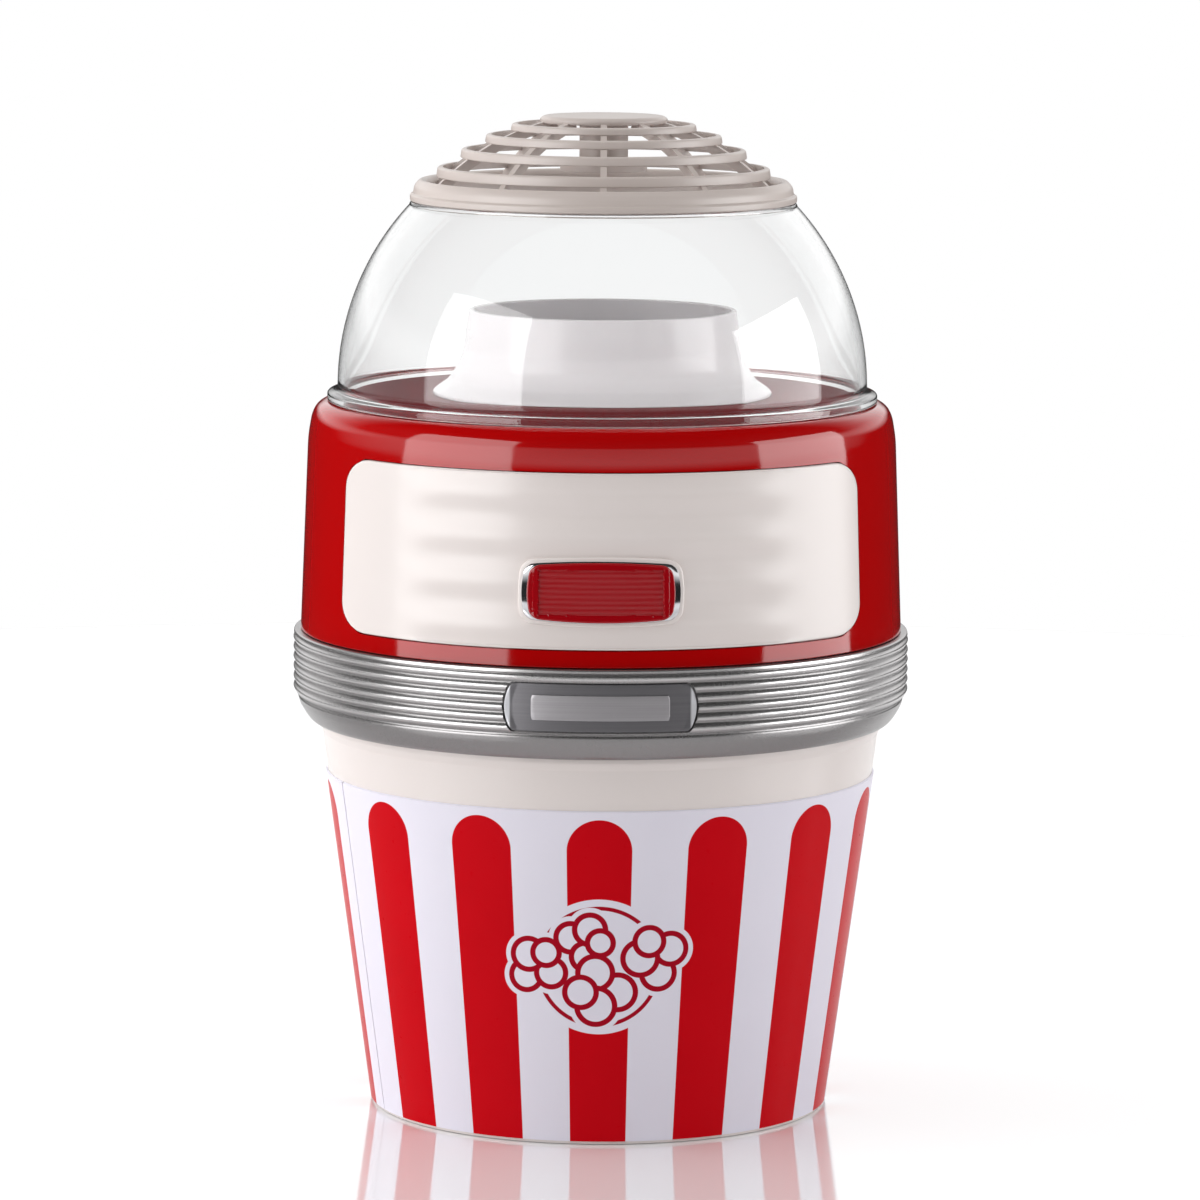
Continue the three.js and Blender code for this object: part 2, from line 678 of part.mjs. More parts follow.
add("popping_chamber", poppingChamber(), aluminium);
add("chamber_gasket", chamberGasket(), rubber);
add("heat_duct", heatDuct(), steel);
add("heater_frame", heaterFrame(), mica);
add("heater_coil", heaterCoil(), steel);
add("thermostat", thermostat(), dark);
add("thermal_fuse", thermalFuse(), white);

add("fan_shroud", fanShroud(), dark);
add("inner_chassis", innerChassis(), white);
add("motor_mount", motorMount(), steel);
add("motor_can", motorCan(), steel);
add("motor_end_cap", motorEndCap(), dark);
add("motor_bush_upper", motorBush(MOTOR.top + 1), copper);
add("motor_bush_lower", motorBush(MOTOR.bottom - 1.5), copper);
add("motor_shaft", motorShaft(), steel);
add("motor_armature", motorArmature(), copper);
add("motor_magnet_left", motorMagnet(-1), dark);
add("motor_magnet_right", motorMagnet(1), dark);
add("fan_impeller", fanImpeller(), white);
add("rectifier_board", rectifierBoard(), board);

add("base_plate", basePlate(), dark);
["rear_left", "front_left", "front_right", "rear_right"].forEach((place, i) => {
  const angle = 45 + 90 * i;
  add(`rubber_foot_${place}`, rubberFoot(angle), rubber);
  const housingScrew = screw(3.2, 1.5, TUB.top - LUG.below - GAP, HOUSING.bottom + 9, 0, LUG.ring);
  add(`housing_screw_${place}`, turned(housingScrew, angle), steel);
  const baseScrew = screw(3.2, 1.5, BASE.bottom - GAP, 17.5, 0, LEDGE.screwRing);
  add(`base_screw_${place}`, turned(baseScrew, angle), steel);
});
["left", "right"].forEach((place, i) => {
  const motorScrew = screw(2.8, 1.3, -83.6, -76.5).rotate([180, 0, 0]).translate([22 * i - 11, 0, 0]);
  add(`motor_screw_${place}`, motorScrew, steel);
});

add("cord_grommet", cordGrommet(), rubber);
add("terminal_block", terminalBlock(), white);
add("switch_body", switchBody(), dark);
add("switch_rocker", switchRocker(), red);
for (const name of Object.keys(WIRES)) add(name, wire(name), dark);

export default machine;
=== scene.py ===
"""The looks of a hot-air popcorn maker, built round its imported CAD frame. Sizes are in millimetres here."""
import json
import math

import bmesh
import bpy
import numpy as np
from mathutils import Matrix, Vector


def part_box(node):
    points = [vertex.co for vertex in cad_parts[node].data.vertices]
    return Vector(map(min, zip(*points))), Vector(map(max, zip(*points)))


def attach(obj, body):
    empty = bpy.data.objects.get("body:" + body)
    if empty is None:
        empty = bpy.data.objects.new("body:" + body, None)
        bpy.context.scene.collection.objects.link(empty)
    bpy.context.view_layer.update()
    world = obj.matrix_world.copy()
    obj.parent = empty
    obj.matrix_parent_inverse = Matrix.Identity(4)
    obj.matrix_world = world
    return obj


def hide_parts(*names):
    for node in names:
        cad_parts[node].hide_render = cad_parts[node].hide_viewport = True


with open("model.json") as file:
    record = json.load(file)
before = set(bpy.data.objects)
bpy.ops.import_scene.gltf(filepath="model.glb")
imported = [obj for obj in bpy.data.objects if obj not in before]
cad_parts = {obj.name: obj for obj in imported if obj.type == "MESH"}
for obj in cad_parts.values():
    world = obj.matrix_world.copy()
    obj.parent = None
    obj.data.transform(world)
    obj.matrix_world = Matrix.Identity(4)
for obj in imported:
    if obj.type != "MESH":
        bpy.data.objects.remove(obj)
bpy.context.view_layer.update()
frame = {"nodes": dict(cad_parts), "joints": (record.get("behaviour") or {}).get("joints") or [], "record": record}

MM = 0.001
SIDES = 192  # sides of a smooth round shell


# ---- Places from the frame ----
class Span:
    """A CAD node's lowest and highest level, its largest radius about the axis, and its rear end."""

    def __init__(self, node):
        low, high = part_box(node)
        self.low, self.high, self.radius = low[2] / MM, high[2] / MM, high[0] / MM
        self.back = high[1] / MM
        self.middle = (self.low + self.high) / 2
        self.height = self.high - self.low


TUB = Span("tub")
LABEL = Span("tub_label")
BAND = Span("trim_band")
HOUSING = Span("upper_housing")
PANEL = Span("front_panel")
BADGE = Span("badge_frame")
NAMEPLATE = Span("nameplate")
STICKER = Span("nameplate_sticker")
DECK = Span("popcorn_deck")
DOME = Span("dome_shell")
GRILLE = Span("vent_grille")
FUNNEL = Span("popcorn_funnel")
CHAMBER = Span("popping_chamber")
SWITCH = Span("switch_body")
ROCKER = Span("switch_rocker")
GROMMET = Span("cord_grommet")

FILM = 0.7  # the label's face above the tub's wall
SEAM = math.atan2(-1, 0.4)  # where the label's ends meet, as an angle from the front
TUB_SLOPE = 0.136
TUB_STEP = 133
HOUSING_LEAN = 0.0384
PANEL_ANGLE = 57.8  # half the panel's sweep in degrees
PLATE_WIDTH, PLATE_BULGE = 67, 2.6  # the nameplate, and how far its ends bow out
BEND = 237  # the level where the housing starts to round over
SHOULDER = BAND.high + 0.3


def tub_radius(z):
    return LABEL.radius - FILM - TUB_SLOPE * (LABEL.high - z)


def housing_radius(z):
    return HOUSING.radius - HOUSING_LEAN * (z - SHOULDER)


# ---- Mesh building ----
def mesh_object(name, points, faces, sharp=32):
    """An object from points in millimetres, smooth except at edges sharper than an angle in degrees."""
    mesh = bpy.data.meshes.new(name)
    mesh.from_pydata([Vector(p) * MM for p in points], [], faces)
    shell = bmesh.new()
    shell.from_mesh(mesh)
    bmesh.ops.recalc_face_normals(shell, faces=shell.faces)
    shell.to_mesh(mesh)
    shell.free()
    mesh.shade_smooth()
    mesh.set_sharp_from_angle(angle=math.radians(sharp))
    piece = bpy.data.objects.new(name, mesh)
    bpy.context.scene.collection.objects.link(piece)
    return piece


def rounded(corners, steps=6):
    """Outline points for corners (x, y) or (x, y, cut): a bend starts cut away from its corner."""
    points = []
    for i, corner in enumerate(corners):
        here = Vector(corner[:2])
        if len(corner) < 3:
            points.append(tuple(here))
            continue
        cut = corner[2]
        before = here + (Vector(corners[i - 1][:2]) - here).normalized() * cut
        after = here + (Vector(corners[(i + 1) % len(corners)][:2]) - here).normalized() * cut
        for k in range(steps + 1):
            t = k / steps
            points.append(tuple((1 - t) ** 2 * before + 2 * t * (1 - t) * here + t ** 2 * after))
    return points


def arc(centre, radius, start, end, steps):
    """Points [radius, height] on an arc about (0, centre), between two heights."""
    first, last = (math.asin((z - centre) / radius) for z in (start, end))
    angles = [first + (last - first) * i / steps for i in range(steps + 1)]
    return [(radius * math.cos(a), centre + radius * math.sin(a)) for a in angles]


def spot(radius, azimuth, z):
    """A point by radius, azimuth in radians from the front, and height."""
    return (radius * math.sin(azimuth), -radius * math.cos(azimuth), z)


def revolve(name, corners, sides=SIDES, start=0.0, sweep=360.0, steps=6, sharp=32):
    """A solid of revolution. An outline with no point on the axis is closed on itself."""
    outline = rounded(corners, steps)
    whole = sweep > 359.9
    count = sides if whole else sides + 1
    points, rings = [], []
    for r, z in outline:
        if r < 1e-6:
            rings.append([len(points)] * count)
            points.append((0, 0, z))
            continue
        rings.append(list(range(len(points), len(points) + count)))
        for i in range(count):
            points.append(spot(r, math.radians(start + sweep * i / sides), z))
    faces = []
    for lower, upper in zip(rings, rings[1:] + rings[:1]):
        if lower[0] == lower[1] and upper[0] == upper[1]:
            continue
        for i in range(sides):
            j = (i + 1) % count
            corners_here = [lower[i], lower[j], upper[j], upper[i]]
            face = [c for k, c in enumerate(corners_here) if c != corners_here[k - 1]]
            faces.append(face)
    if not whole:
        faces.append([ring[0] for ring in rings])
        faces.append([ring[-1] for ring in reversed(rings)])
    return mesh_object(name, points, faces, sharp)


def block(name, size, centre, bevel=0.0, turn=None):
    """A box with rounded edges, optionally turned about its own centre."""
    shell = bmesh.new()
    bmesh.ops.create_cube(shell, size=1)
    bmesh.ops.scale(shell, vec=Vector(size), verts=shell.verts)
    if bevel:
        bmesh.ops.bevel(shell, geom=shell.edges[:], offset=bevel, segments=3, profile=0.5, affect="EDGES")
    if turn:
        bmesh.ops.transform(shell, matrix=turn, verts=shell.verts)
    bmesh.ops.translate(shell, vec=Vector(centre), verts=shell.verts)
    points = [v.co.copy() for v in shell.verts]
    faces = [[v.index for v in f.verts] for f in shell.faces]
    shell.free()
    return mesh_object(name, points, faces)


def combine(piece, tools, operation):
    """Cuts tools out of a piece, or joins them to it, and removes the tools."""
    for tool in tools:
        change = piece.modifiers.new("combine", "BOOLEAN")
        change.operation, change.solver, change.object = operation, "MANIFOLD", tool
    bpy.context.view_layer.update()
    result = bpy.data.meshes.new_from_object(piece.evaluated_get(bpy.context.evaluated_depsgraph_get()))
    piece.modifiers.clear()
    piece.data = result
    for tool in tools:
        bpy.data.objects.remove(tool)
    result.shade_smooth()
    result.set_sharp_from_angle(angle=math.radians(32))
    return piece


class Outline:
    """A patch's outline on a round wall: u along the wall from the front, v up from the patch's middle."""

    def __init__(self, width, height, corner, bulge=0.0, crown=0.0):
        self.half, self.rise = width / 2, height / 2
        self.corner_u, self.corner_v = corner
        self.bulge, self.crown = bulge, crown

    def reach(self, v):
        """Half the patch's width at a level, before the bulge."""
        over = max(0.0, abs(v) - (self.rise - self.corner_v)) / self.corner_v
        return self.half - self.corner_u * (1 - math.sqrt(max(0.0, 1 - over ** 2)))

    def bend(self, u, v):
        """The bulge of the ends and the crown of the long sides."""
        return u * (1 - self.bulge / self.half * (v / self.rise) ** 2), v * (
            1 - self.crown / self.rise * (u / self.half) ** 2
        )


def steps_between(low, high, step, edge):
    """Values from low to high, crowded at both ends, where an edge is rounded."""
    near = [edge * k for k in (0, 0.06, 0.2, 0.45, 0.75, 1)]
    count = max(2, round((high - low - 2 * edge) / step))
    inner = [low + edge + (high - low - 2 * edge) * i / count for i in range(1, count)]
    return [low + n for n in near] + inner + [high - n for n in reversed(near)]


def patch(name, outline, level, radius_at, face, back, edge=0.6, step=1.5, relief=None):
    """A plate on a round wall. face and back are its depths over the wall, and relief(u, z) adds to face."""
    around = radius_at(level)
    rows = steps_between(-outline.rise, outline.rise, step, edge)
    columns = len(steps_between(-outline.half, outline.half, step, edge))
    flat = []
    for v in rows:
        reach = outline.reach(v)
        line = steps_between(-reach, reach, step * reach / outline.half, edge)
        line = np.interp(np.linspace(0, 1, columns), np.linspace(0, 1, len(line)), line)
        flat.append([outline.bend(u, v) for u in line])
    flat = np.array(flat)
    loop = np.concatenate([flat[0], flat[1:, -1], flat[-1, -2::-1], flat[-2:0:-1, 0]])
    nearest = distance_to_loop(flat.reshape(-1, 2), loop).reshape(flat.shape[:2])
    points, count = [], flat.shape[0] * flat.shape[1]
    for depth in (face, back):
        for i in range(flat.shape[0]):
            for j in range(columns):
                u, v = flat[i, j]
                z = level + v
                out = depth
                if depth == face:
                    inside = min(nearest[i, j], edge)
                    out -= edge - math.sqrt(max(0.0, edge ** 2 - (edge - inside) ** 2))
                    out += relief(u, z) * min(1, nearest[i, j] / edge) if relief else 0
                points.append(spot(radius_at(z) + out, u / around, z))
    faces = []
    for i in range(flat.shape[0] - 1):
        for j in range(columns - 1):
            a = i * columns + j
            quad = [a, a + 1, a + columns + 1, a + columns]
            faces += [quad, [count + k for k in reversed(quad)]]
    rim = [j for j in range(columns)]
    rim += [i * columns + columns - 1 for i in range(1, flat.shape[0])]
    rim += [(flat.shape[0] - 1) * columns + j for j in range(columns - 2, -1, -1)]
    rim += [i * columns for i in range(flat.shape[0] - 2, 0, -1)]
    for a, b in zip(rim, rim[1:] + rim[:1]):
        faces.append([a, a + count, b + count, b])
    return mesh_object(name, points, faces)


def distance_to_loop(points, loop):
    """How far each point is from a closed line of points."""
    starts, ends = loop, np.roll(loop, -1, axis=0)
    along = ends - starts
    length = np.maximum((along ** 2).sum(1), 1e-12)
    best = np.full(len(points), np.inf)
    for start, step, square in zip(starts, along, length):
        t = np.clip(((points - start) @ step) / square, 0, 1)
        best = np.minimum(best, np.hypot(*(points - start - t[:, None] * step).T))
    return best


def turned(piece, angle, axis="Z"):
    piece.data.transform(Matrix.Rotation(math.radians(angle), 4, axis))
    return piece


def moved(piece, x=0.0, y=0.0, z=0.0):
    piece.data.transform(Matrix.Translation(Vector((x, y, z)) * MM))
    return piece


# ---- Looks ----
def linear(red, green, blue):
    """A colour that the shader takes, from one as it is seen on a screen, 0 to 255."""
    shades = [c / 255 for c in (red, green, blue)]
    return tuple(((c + 0.055) / 1.055) ** 2.4 if c > 10 / 255 else c / 12.92 for c in shades) + (1,)


class Value:
    """A number that varies over a surface. Arithmetic on it adds math nodes."""

    def __init__(self, nodes, socket):
        self.nodes, self.socket = nodes, socket

    def math(self, operation, *others):
        node = self.nodes.add("ShaderNodeMath", operation=operation)
        for slot, value in zip(node.inputs, (self, *others)):
            self.nodes.feed(slot, value)
        return Value(self.nodes, node.outputs[0])

    def __add__(self, other):
        return self.math("ADD", other)

    def __sub__(self, other):
        return self.math("SUBTRACT", other)

    def __mul__(self, other):
        return self.math("MULTIPLY", other)

    def __truediv__(self, other):
        return self.math("DIVIDE", other)

    def most(self, other):
        return self.math("MAXIMUM", other)

    def size(self):
        return self.math("ABSOLUTE")

    def root(self):
        return self.math("SQRT")

    def inside(self, blur=0.12):
        """1 where the value is above 0, and 0 elsewhere, with an edge that is blur wide."""
        node = self.nodes.add("ShaderNodeMath", operation="MULTIPLY_ADD", use_clamp=True)
        for slot, value in zip(node.inputs, (self, 1 / blur, 0.5)):
            self.nodes.feed(slot, value)
        return Value(self.nodes, node.outputs[0])


class Nodes:
    """A node tree, and short ways to add to it."""

    space = "Object"

    def __init__(self, tree):
        self.tree = tree

    def add(self, kind, **settings):
        node = self.tree.nodes.new(kind)
        for key, value in settings.items():
            setattr(node, key, value)
        return node

    def feed(self, slot, value):
        if isinstance(value, Value):
            self.tree.links.new(value.socket, slot)
        else:
            slot.default_value = value

    def place(self):
        """The x, y and z of a point on a surface in metres, or of a direction to the sky."""
        split = self.add("ShaderNodeSeparateXYZ")
        self.tree.links.new(self.add("ShaderNodeTexCoord").outputs[self.space], split.inputs[0])
        return [Value(self, socket) for socket in split.outputs]

    def noise(self, scale, detail=3.0, stretch=(1, 1, 1)):
        """Noise from 0 to 1 whose patches are about 1/scale millimetres across."""
        mapping = self.add("ShaderNodeMapping")
        mapping.inputs["Scale"].default_value = [scale / MM * s for s in stretch]
        noise = self.add("ShaderNodeTexNoise")
        noise.inputs["Scale"].default_value = 1.0
        noise.inputs["Detail"].default_value = detail
        self.tree.links.new(self.add("ShaderNodeTexCoord").outputs[self.space], mapping.inputs[0])
        self.tree.links.new(mapping.outputs[0], noise.inputs["Vector"])
        return Value(self, noise.outputs["Fac"])

    def blend(self, factor, first, second):
        """A colour between two colours, each a tuple or another blend."""
        node = self.add("ShaderNodeMix", data_type="RGBA")
        self.feed(node.inputs["Factor"], factor)
        for slot, value in zip((node.inputs[6], node.inputs[7]), (first, second)):
            self.feed(slot, value)
        return Value(self, node.outputs[2])


class Look(Nodes):
    """One material: a principled shader and the nodes that feed it."""

    def __init__(self, name, **settings):
        self.material = bpy.data.materials.new(name)
        self.material.use_nodes = True
        super().__init__(self.material.node_tree)
        self.shader = self.tree.nodes["Principled BSDF"]
        for key, value in settings.items():
            self.shader.inputs[key.replace("_", " ").title().replace("Ior", "IOR")].default_value = value
        self.normal = None

    def colour(self, value):
        self.feed(self.shader.inputs["Base Color"], value)
        return self

    def gloss(self, value):
        self.feed(self.shader.inputs["Roughness"], value)
        return self

    def relief(self, height, depth):
        """Raises the surface by height, from 0 to 1, times depth in millimetres."""
        bump = self.add("ShaderNodeBump")
        bump.inputs["Distance"].default_value = depth * MM
        bump.inputs["Strength"].default_value = 1.0
        self.feed(bump.inputs["Height"], height)
        if self.normal:
            self.tree.links.new(self.normal, bump.inputs["Normal"])
        self.normal = bump.outputs[0]
        self.tree.links.new(self.normal, self.shader.inputs["Normal"])
        return self


def shiny_plastic(name, base, deep, rough=0.16, grain=0.004, ior=1.5):
    """Polished moulded plastic: a faint drift of colour, dust in the gloss, and a slow moulding ripple."""
    look = Look(name, ior=ior)
    drift = look.noise(0.012, 2)
    look.colour(look.blend(drift, base, deep))
    look.gloss(look.noise(0.35, 4) * 0.06 + (rough - 0.03))
    look.relief(look.noise(0.05, 1), 0.02)
    look.relief(look.noise(2.2, 2), grain)
    return look


def satin_metal(name, base, deep, rough, brush=(0.02, 0.02, 2.4), grain=0.01, metallic=1.0):
    """Metal with fine brush lines that run round it."""
    look = Look(name, metallic=metallic)
    lines = look.noise(1.0, 3, brush)
    look.colour(look.blend(lines, base, deep))
    look.gloss(look.noise(0.4, 3) * 0.14 + lines * 0.1 + (rough - 0.12))
    look.relief(lines, grain)
    return look


def matt_red(name):
    """The fine spark texture of the surface that the popped corn slides over, in a red darker than the housing's:
    partly the deck's own colour, partly painted shade for the deck under the dome.
    """
    look = Look(name, specular_ior_level=0.1)
    grains = look.noise(1.6, 3)
    # deep red: partly the deck's own colour, partly painted shade under the dome
    look.colour(look.blend(grains, linear(120, 8, 20), linear(106, 5, 15)))
    look.gloss(grains * 0.1 + 0.55)
    look.relief(grains, 0.03)
    return look


def dull(name, base, deep, rough=0.65, grain=0.05, scale=1.6):
    """A matt moulded or sintered surface with fine grain."""
    look = Look(name)
    grains = look.noise(scale, 4)
    look.colour(look.blend(grains, base, deep))
    look.gloss(look.noise(0.2, 3) * 0.2 + (rough - 0.1))
    look.relief(grains, grain)
    return look


def label_look():
    """The printed wrap: arched stripes on bluish white, and a ring with popped kernels at the front."""
    pitch, half_angle, arch_top = math.radians(25.3), math.radians(6.75), LABEL.high - 3
    centre, ring, stroke, margin = 64.0, 20.8, 0.7, 24.0
    look = Look("printed_label", ior=1.5, specular_ior_level=0.05)
    x, y, z = (value * (1 / MM) for value in look.place())
    around = (x.math("ARCTAN2", y * -1) - SEAM).math("FLOORED_MODULO", 2 * math.pi) + SEAM
    radius = (x * x + y * y).root()
    half = radius * half_angle
    off = around.math("PINGPONG", pitch / 2) * radius
    over = (z - (half * -1 + arch_top)).most(0)
    stripe = (half - (off * off + over * over).root()).inside()
    u, v = around * radius, z - centre
    reach = (u * u + v * v).root()
    white = (reach * -1 + margin).inside()
    line = ((reach - ring).size() * -1 + stroke).inside()
    kernels, patch_under = popped_kernels(u, v)
    paper = look.blend(look.noise(0.02, 2), linear(238, 234, 245), linear(231, 228, 240))
    ink = look.blend(look.noise(0.03, 2), linear(208, 2, 20), linear(198, 1, 16))
    deep_ink = linear(168, 6, 32)
    face = look.blend(stripe, paper, ink)
    face = look.blend(white, face, paper)
    face = look.blend(line, face, deep_ink)
    face = look.blend(patch_under, face, paper)
    face = look.blend(kernels, face, deep_ink)
    look.colour(face)
    look.gloss(look.noise(0.5, 4) * 0.08 + stripe * -0.03 + 0.28)
    look.relief(look.noise(0.06, 2), 0.05)
    look.relief(look.noise(3.0, 3), 0.006)
    return look


def popped_kernels(u, v, stroke=0.95, halo=2.6):
    """Four popped kernels in outline, each of round lobes laid over one another, and the patch they cover."""
    kernels = ((-21.5, 0.0, 1.15, 20), (19.5, 3.0, 1.25, 75), (-5.0, 9.0, 1.1, -40), (0.5, -8.5, 1.35, 150))
    lobes = ((4.4, 205, 4.6), (4.9, 315, 4.4), (4.2, 105, 4.8), (5.0, 35, 4.0))
    ink = cover = None
    for x, z, scale, turn in kernels:
        for distance, angle, size in lobes:
            a = math.radians(angle + turn)
            du = u - (x + scale * distance * math.cos(a))
            dv = v - (z + scale * distance * math.sin(a))
            away = (du * du + dv * dv).root() - scale * size
            rim = (away.size() * -1 + stroke).inside()
            patch_under = (away * -1 + halo).inside()
            ink = rim if ink is None else (ink * away.inside()).most(rim)
            cover = patch_under if cover is None else cover.most(patch_under)
    return ink, cover


def band_look():
    """Silver lacquer with a fine metallic flake, painted darker in the grooves between the ribs and on the roll
    that tucks under: painted shade.
    """
    look = Look("silver_trim", metallic=0.92)
    x, y = (value * (1 / MM) for value in look.place()[:2])
    flake = look.noise(5.0, 2)
    drift = look.noise(0.02, 2)
    # painted shade: a darker grey wherever the band lies inward of its rib crests, in the grooves and on the lower
    # roll
    painted_groove_shade = ((x * x + y * y).root() * -1 + (BAND.radius - 0.5)).inside(0.5)
    lacquer = look.blend(flake, linear(184, 182, 182), linear(206, 204, 204))
    look.colour(look.blend(painted_groove_shade, lacquer, linear(146, 144, 144)))
    look.gloss(flake * 0.12 + drift * 0.06 + 0.18)
    look.relief(flake, 0.006)
    return look


def clear_look():
    """Clear polycarbonate, wiped clean but not quite perfectly smooth."""
    look = Look("clear_plastic", ior=1.42, roughness=0.02)
    look.shader.inputs["Transmission Weight"].default_value = 1.0
    look.shader.inputs["Base Color"].default_value = (0.985, 0.99, 0.99, 1)
    look.gloss(look.noise(0.15, 3) * 0.03 + 0.0)
    look.relief(look.noise(0.02, 1), 0.03)
    return look


def chrome_look():
    look = Look("chrome_trim", metallic=1.0)
    smear = look.noise(0.3, 3)
    look.colour(look.blend(smear, linear(232, 232, 235), linear(220, 220, 224)))
    look.gloss(smear * 0.06 + 0.04)
    look.relief(look.noise(0.2, 1), 0.01)
    return look


def nameplate_look():
    """Brushed grey metal whose raised ends are polished."""
    look = Look("nameplate_metal", metallic=1.0)
    brush = (0.02, 0.02, 2.4)
    lines = look.noise(1.0, 3, brush)
    grey = look.blend(look.noise(0.8, 3, brush), linear(106, 105, 108), linear(122, 120, 123))
    end = ((look.place()[0] * (1 / MM)).size() - 30.6).inside(0.6)
    look.colour(look.blend(end, grey, linear(222, 222, 226)))
    look.gloss(look.noise(0.4, 3) * 0.14 + lines * 0.1 + 0.3)
    look.relief(lines, 0.01)
    return look


def winding_look():
    """Copper wire laid in turns, painted dark in the creases between the turns: painted shade."""
    look = Look("copper_winding", metallic=0.85)
    wave = look.add("ShaderNodeTexWave", bands_direction="Z")
    spots = look.add("ShaderNodeTexCoord")
    look.tree.links.new(spots.outputs["Object"], wave.inputs["Vector"])
    wave.inputs["Scale"].default_value = 900
    turns = Value(look, wave.outputs["Fac"])
    # painted shade: the dark copper sits in the valleys between the turns, the bright copper on their crowns
    look.colour(look.blend(turns, linear(92, 48, 26), linear(205, 120, 70)))
    look.gloss(turns * -0.1 + 0.42)
    look.relief(turns, 0.2)
    return look


LOOKS = {
    "cream_plastic": shiny_plastic("cream_plastic", linear(235, 226, 223), linear(229, 220, 216), 0.25),
    # grille_plastic is a darker copy of the cream plastic: painted shade for the shadows among the grille's rings
    "grille_plastic": shiny_plastic("grille_plastic", linear(206, 195, 189), linear(198, 186, 180), 0.36),
    "white_plastic": shiny_plastic("white_plastic", linear(220, 216, 218), linear(212, 208, 210), 0.22),
    "red_plastic": shiny_plastic("red_plastic", linear(178, 1, 3), linear(169, 1, 2), 0.07, 0.002),
    "badge_red": shiny_plastic("badge_red", linear(164, 2, 16), linear(152, 1, 12), 0.12, 0.002),
    "deck_plastic": matt_red("deck_plastic"),
    "switch_red": shiny_plastic("switch_red", linear(176, 12, 14), linear(160, 8, 10), 0.3),
    "ceramic_fuse": shiny_plastic("ceramic_fuse", linear(228, 226, 218), linear(214, 210, 200), 0.3),
    "printed_label": label_look(),
    "silver_trim": band_look(),
    "clear_plastic": clear_look(),
    "chrome_trim": chrome_look(),
    "copper_winding": winding_look(),
    "nameplate_metal": nameplate_look(),
    "label_metal": satin_metal("label_metal", linear(158, 155, 158), linear(178, 175, 178), 0.42),
    "aluminium_sheet": satin_metal("aluminium_sheet", linear(200, 200, 202), linear(222, 222, 224), 0.3),
    "steel_sheet": satin_metal("steel_sheet", linear(170, 171, 174), linear(196, 197, 199), 0.34),
    "steel_rod": satin_metal("steel_rod", linear(176, 176, 180), linear(204, 204, 207), 0.3, (0.1, 0.1, 3.0)),
    "heater_wire": satin_metal(
        "heater_wire", linear(112, 100, 94), linear(146, 132, 122), 0.42, (2.0, 2.0, 2.0), 0.03),
    "bronze": satin_metal("bronze", linear(176, 132, 84), linear(200, 156, 104), 0.4, (1.2, 1.2, 1.2), 0.02),
    "black_plastic": dull("black_plastic", linear(38, 38, 40), linear(50, 50, 52), 0.5),
    "magnet_ferrite": dull("magnet_ferrite", linear(60, 60, 63), linear(80, 80, 82), 0.7),
    "mica_sheet": dull("mica_sheet", linear(196, 182, 150), linear(166, 148, 116), 0.5, 0.08, 0.5),
    "silicone_rubber": dull("silicone_rubber", linear(196, 78, 62), linear(182, 66, 52), 0.55),
    "black_rubber": dull("black_rubber", linear(34, 34, 36), linear(44, 44, 46), 0.75, 0.06, 2.4),
    "wire_sleeve": dull("wire_sleeve", linear(40, 40, 44), linear(54, 54, 58), 0.5),
    "circuit_board": dull("circuit_board", linear(36, 102, 56), linear(48, 120, 68), 0.4, 0.03, 3.0),
}


def settle(piece, look, body="machine", node=None):
    """Gives a piece its look, parents it to the body that carries it, and hides the CAD node it stands for."""
    piece.data.materials.clear()
    piece.data.materials.append(LOOKS[look].material)
    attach(piece, body)
    if node:
        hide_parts(node)
    return piece


# ---- Outer shells ----
def make_tub():
    wall, ledge = 2.4, 69
    low, lip = TUB.low - 0.4, TUB.high
    shell = revolve("tub_shell", [
        (tub_radius(low), low, 0.3),
        (tub_radius(TUB_STEP), TUB_STEP, 0.2),
        (99.3, TUB_STEP + 2.4, 0.8),
        (99.7, 150, 0.5),
        (TUB.radius - 0.1, 150, 0.3),
        (TUB.radius - 0.1, lip, 0.5),
        (97, lip, 0.3),
        (97, 147, 1),
        (tub_radius(TUB_STEP) - wall, TUB_STEP, 2),
        (tub_radius(10) - wall, 10, 1),
        (ledge, 10, 0.5),
        (ledge, 6.8, 0.5),
        (tub_radius(7) - wall, 6.8, 0.3),
        (tub_radius(low) - wall + 0.8, low, 0.6),
    ])
    settle(shell, "cream_plastic", node="tub")


def make_label():
    film, gap, seam, edge = 0.4, 0.3, 0.5, 0.5
    azimuth = math.degrees(SEAM)
    levels = 24
    outer = [(tub_radius(z) + gap + film, z) for z in np.linspace(LABEL.low, LABEL.high - edge, levels)]
    inner = [(tub_radius(z) + gap / 4, z) for z in np.linspace(LABEL.high, LABEL.low, levels)]
    label = revolve("tub_wrap_label", outer + inner, start=azimuth + seam, sweep=360 - seam)
    settle(label, "printed_label", node="tub_label")


def band_profile():
    """Half-round ribs above a smooth roll that tucks in under the band."""
    crest, dip, ribs = BAND.radius, 0.9, 6
    lip = BAND.low + 9.6
    top = BAND.high
    pitch = (top - 1.2 - lip) / ribs
    outline = [(103.9, top, 0.4), (crest - 0.3, top, 0.7), (crest - 0.2, top - 1.2)]
    for i in range(ribs):
        high = top - 1.2 - i * pitch
        for k in range(1, 9):
            t = k / 8
            outline.append((crest - dip * abs(math.cos(math.pi * t)) ** 2.2, high - pitch * t))
    outline += [(106.5, lip - 0.3, 0.2), (106.5, lip - 0.9, 0.2), (106.9, lip - 1.5, 0.5)]
    outline += [(106.4, lip - 3.6, 1.2), (105, lip - 6, 1.4), (103.4, lip - 8.4, 1), (102, BAND.low, 0.6)]
    outline += [(100.6, BAND.low, 0.2), (100.6, BAND.low + 10), (103.9, BAND.low + 13)]
    return outline


